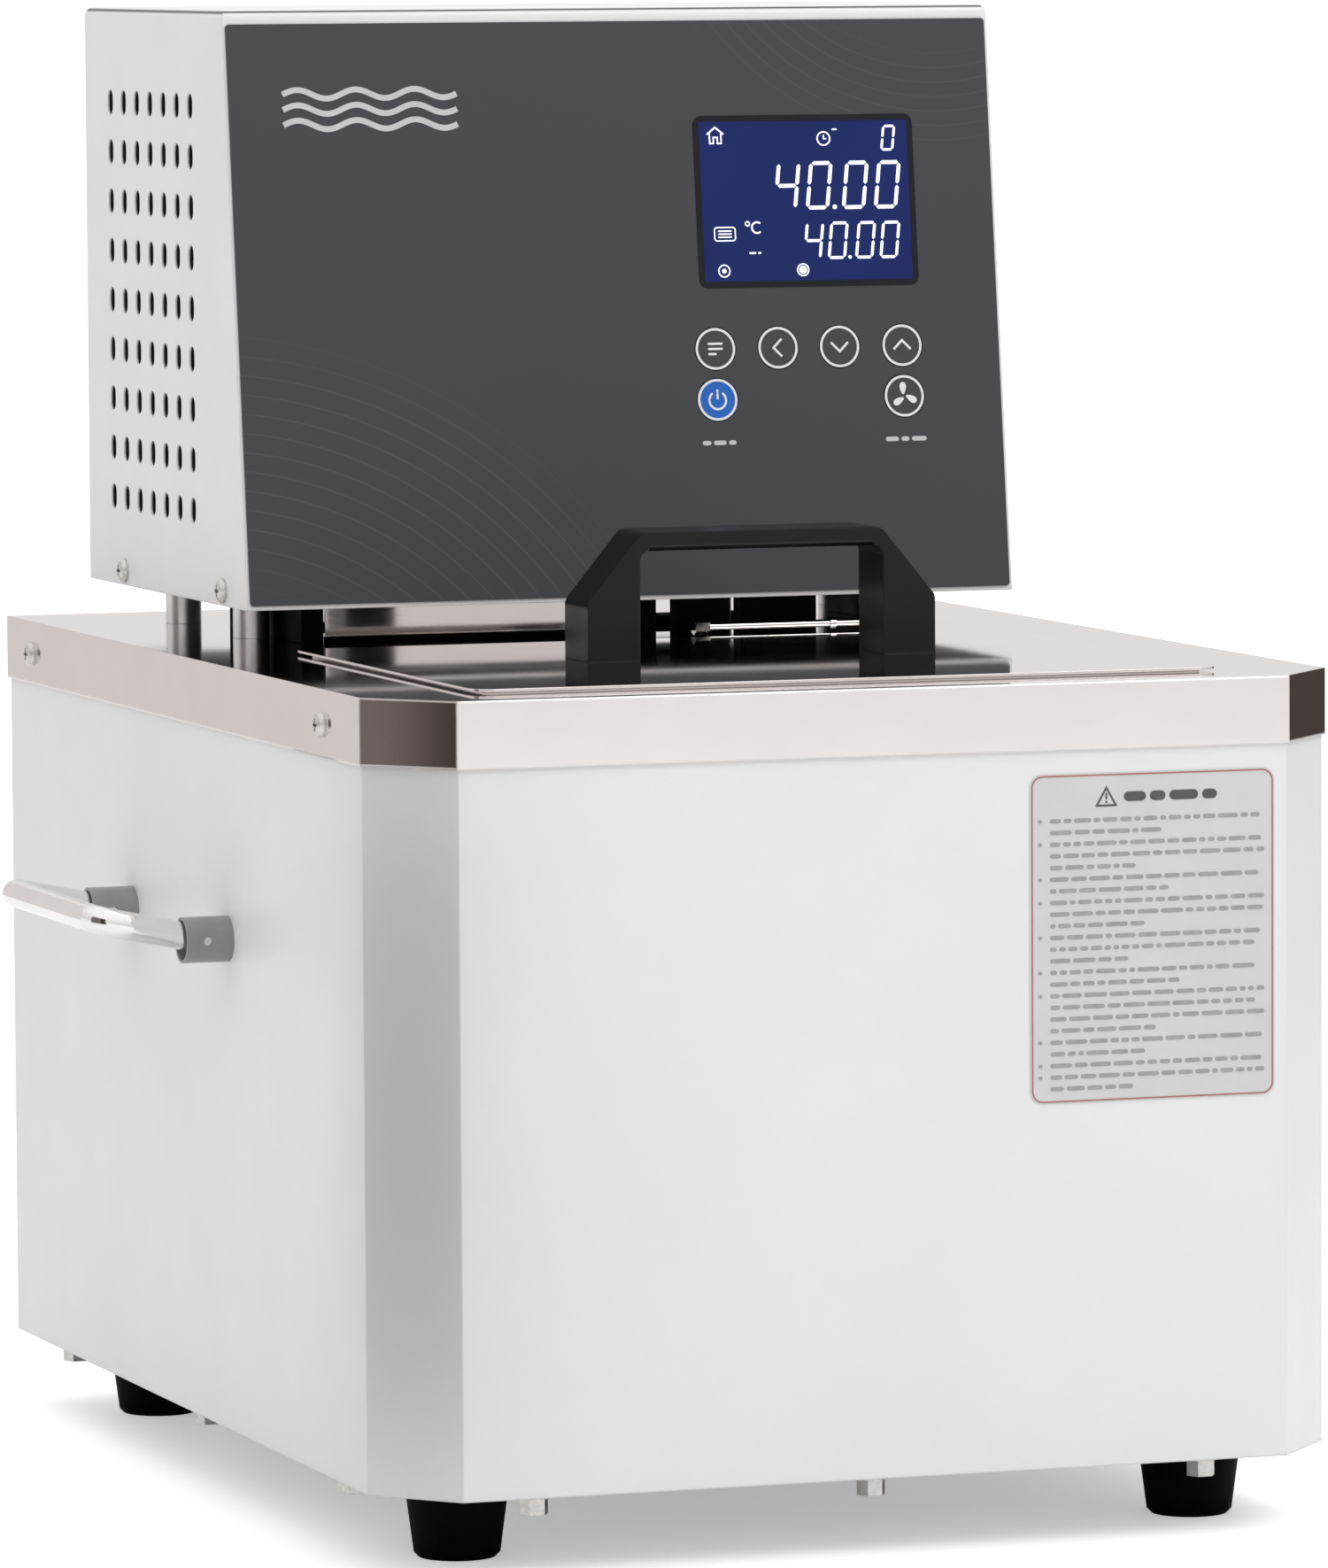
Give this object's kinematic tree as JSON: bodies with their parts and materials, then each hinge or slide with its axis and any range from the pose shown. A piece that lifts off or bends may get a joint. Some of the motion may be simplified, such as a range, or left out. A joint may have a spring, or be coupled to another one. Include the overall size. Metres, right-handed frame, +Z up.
{
  "type": "heated circulating water bath",
  "caption": "Bench-top heated circulating water bath: stainless tank with lift-off lid, sloping control head with screen and keys, side carry handles, rear drain valve.",
  "frame": {"origin": "centre of the bounding box at the bench surface, under the feet", "axes": "+Z up, front with the keys faces -Y, +X to the right seen from the front"},
  "size_m": [0.409, 0.473, 0.476],
  "materials": {
    "white_paint": "satin powder coat",
    "stainless_sheet": "bright rolled",
    "stainless_turned": "satin",
    "zinc_sheet": "zinc plated",
    "screw_steel": "nickel plated",
    "chrome": "polished",
    "valve_brass": "nickel-plated brass",
    "red_plastic": "gloss",
    "black_plastic": "satin gloss",
    "grey_plastic": "satin",
    "black_rubber": "matt",
    "foam": "closed-cell foam",
    "label_film": "printed film",
    "overlay_grey": "fine-textured film",
    "lcd_glass": "clear acrylic with a black border",
    "lcd_blue": "lit panel",
    "board_green": "solder mask",
    "key_grey": "fine-textured film",
    "key_blue": "printed film",
    "motor_paint": "black enamel",
    "float_white": "satin",
    "heatsink_aluminium": "extruded",
    "relay_plastic": "moulded"
  },
  "bodies": {
    "housing": {"body_casing": "white_paint", "back_panel": "white_paint", "base_plate": "zinc_sheet", "rubber_feet": "black_rubber", "foot_screws": "screw_steel", "base_screws": "screw_steel", "top_cover": "stainless_sheet", "top_cover_screws": "screw_steel", "inner_tank": "stainless_sheet", "tank_insulation": "foam", "drain_valve_body": "valve_brass", "drain_hose_barb": "valve_brass", "handle_bosses": "grey_plastic", "handle_pins": "screw_steel", "front_label": "label_film", "standoffs": "stainless_turned", "standoff_bolts": "screw_steel", "head_cover": "white_paint", "head_base_plate": "stainless_sheet", "head_back_panel": "white_paint", "head_cover_screws": "screw_steel", "front_overlay": "overlay_grey", "lcd_window": "lcd_glass", "lcd_module": "lcd_blue", "control_board": "board_green", "pump_motor": "motor_paint", "pump_housing": "black_plastic", "supply_pipe": "stainless_turned", "return_pipe": "stainless_turned", "heater_coil": "stainless_turned", "heater_flange": "stainless_sheet", "temperature_probe": "stainless_turned", "float_stem": "stainless_turned", "bypass_tube": "chrome", "gap_blocks": "black_rubber", "fan_frame": "black_plastic", "power_supply": "board_green", "relay_heatsink": "heatsink_aluminium", "solid_state_relay": "relay_plastic", "mains_inlet": "black_plastic", "fuse_drawer": "black_plastic", "switch_housing": "black_plastic"},
    "lid": {"lid_plate": "stainless_sheet", "lid_handle": "black_plastic", "lid_handle_screws": "screw_steel"},
    "left_grip": {"handle_bar_left": "chrome"},
    "right_grip": {"handle_bar_right": "chrome"},
    "valve_plug": {"drain_valve_ball": "chrome", "drain_valve_lever": "red_plastic"},
    "pump_rotor": {"pump_shaft": "stainless_turned", "pump_impeller": "black_plastic"},
    "float_ring": {"level_float": "float_white"},
    "fan_wheel": {"fan_rotor": "black_plastic"},
    "rocker": {"switch_rocker": "black_plastic"},
    "button_set": {"key_set": "key_grey"},
    "button_left": {"key_left": "key_grey"},
    "button_down": {"key_down": "key_grey"},
    "button_up": {"key_up": "key_grey"},
    "button_power": {"key_power": "key_blue"},
    "button_circulate": {"key_circulate": "key_grey"}
  },
  "joints": [
    {"name": "lid_lift", "type": "slide", "parent": "housing", "child": "lid", "axis": [0, 0, 1], "range_m": [0, 0.06]},
    {"name": "left_grip_swing", "type": "hinge", "parent": "housing", "child": "left_grip", "pos_m": [-0.1665, -0.0106, 0.182], "axis": [0, -1, 0], "range_deg": [0, 24]},
    {"name": "right_grip_swing", "type": "hinge", "parent": "housing", "child": "right_grip", "pos_m": [0.1665, -0.0106, 0.182], "axis": [0, 1, 0], "range_deg": [0, 24]},
    {"name": "drain_valve_turn", "type": "hinge", "parent": "housing", "child": "valve_plug", "pos_m": [0, 0.2035, 0.074], "axis": [0, 0, 1], "range_deg": [0, 90]},
    {"name": "pump_spin", "type": "hinge", "parent": "housing", "child": "pump_rotor", "pos_m": [-0.045, 0.073, 0.2], "axis": [0, 0, 1], "continuous": true},
    {"name": "float_rise", "type": "slide", "parent": "housing", "child": "float_ring", "axis": [0, 0, 1], "range_m": [0, 0.012]},
    {"name": "fan_spin", "type": "hinge", "parent": "housing", "child": "fan_wheel", "pos_m": [-0.07, 0.169, 0.42], "axis": [0, 1, 0], "continuous": true},
    {"name": "rocker_tilt", "type": "hinge", "parent": "housing", "child": "rocker", "pos_m": [0.088, 0.178, 0.386], "axis": [0, 0, 1], "range_deg": [-18, 0]},
    {"name": "press_set", "type": "slide", "parent": "housing", "child": "button_set", "axis": [0, 0.9925, -0.1219], "range_m": [0, 0.0005], "stiffness_N_per_m": 1500, "springref_m": -0.0003},
    {"name": "press_left", "type": "slide", "parent": "housing", "child": "button_left", "axis": [0, 0.9925, -0.1219], "range_m": [0, 0.0005], "stiffness_N_per_m": 1500, "springref_m": -0.0003},
    {"name": "press_down", "type": "slide", "parent": "housing", "child": "button_down", "axis": [0, 0.9925, -0.1219], "range_m": [0, 0.0005], "stiffness_N_per_m": 1500, "springref_m": -0.0003},
    {"name": "press_up", "type": "slide", "parent": "housing", "child": "button_up", "axis": [0, 0.9925, -0.1219], "range_m": [0, 0.0005], "stiffness_N_per_m": 1500, "springref_m": -0.0003},
    {"name": "press_power", "type": "slide", "parent": "housing", "child": "button_power", "axis": [0, 0.9925, -0.1219], "range_m": [0, 0.0005], "stiffness_N_per_m": 1500, "springref_m": -0.0003},
    {"name": "press_circulate", "type": "slide", "parent": "housing", "child": "button_circulate", "axis": [0, 0.9925, -0.1219], "range_m": [0, 0.0005], "stiffness_N_per_m": 1500, "springref_m": -0.0003}
  ]
}
